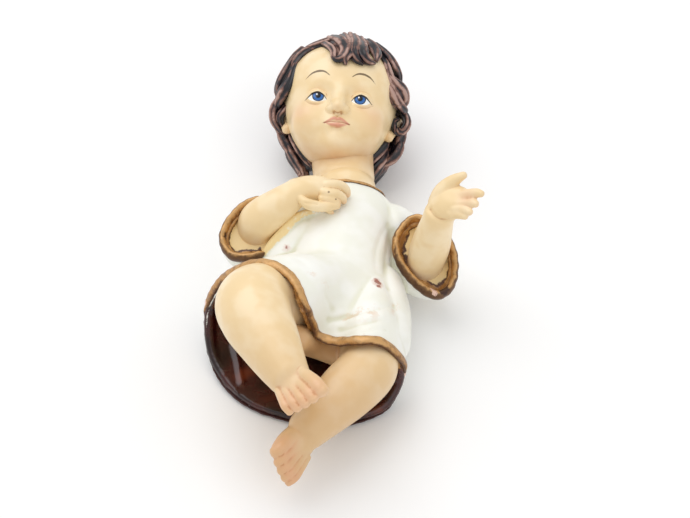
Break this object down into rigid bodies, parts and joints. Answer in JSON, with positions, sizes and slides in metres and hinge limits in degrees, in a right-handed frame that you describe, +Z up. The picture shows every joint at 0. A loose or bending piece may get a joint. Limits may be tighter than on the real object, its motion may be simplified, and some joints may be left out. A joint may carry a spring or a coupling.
{
  "type": "baby jesus figurine",
  "caption": "Painted cast resin figurine of a baby in a short gold-hemmed tunic, lying on its back with one hand raised and the legs crossed.",
  "frame": {"origin": "centre of the bounding box at its lowest level, the flat underside", "axes": "+Y from the feet towards the crown of the head, +Z up from the ground through the chest, +X to the figure's left"},
  "size_m": [0.071, 0.135, 0.0475],
  "materials": {
    "painted_resin": "cast resin, hand painted, satin",
    "painted_skin": "satin enamel paint with rosy shading",
    "painted_robe": "off-white satin paint, with small red-brown stains",
    "robe_lining": "glossy maroon paint",
    "gold_trim": "gold-brown metallic paint, worn",
    "painted_hair": "near-black paint, dry-brushed brown on the ridges"
  },
  "bodies": {
    "root": {"figurine": "painted_resin"}
  },
  "joints": []
}
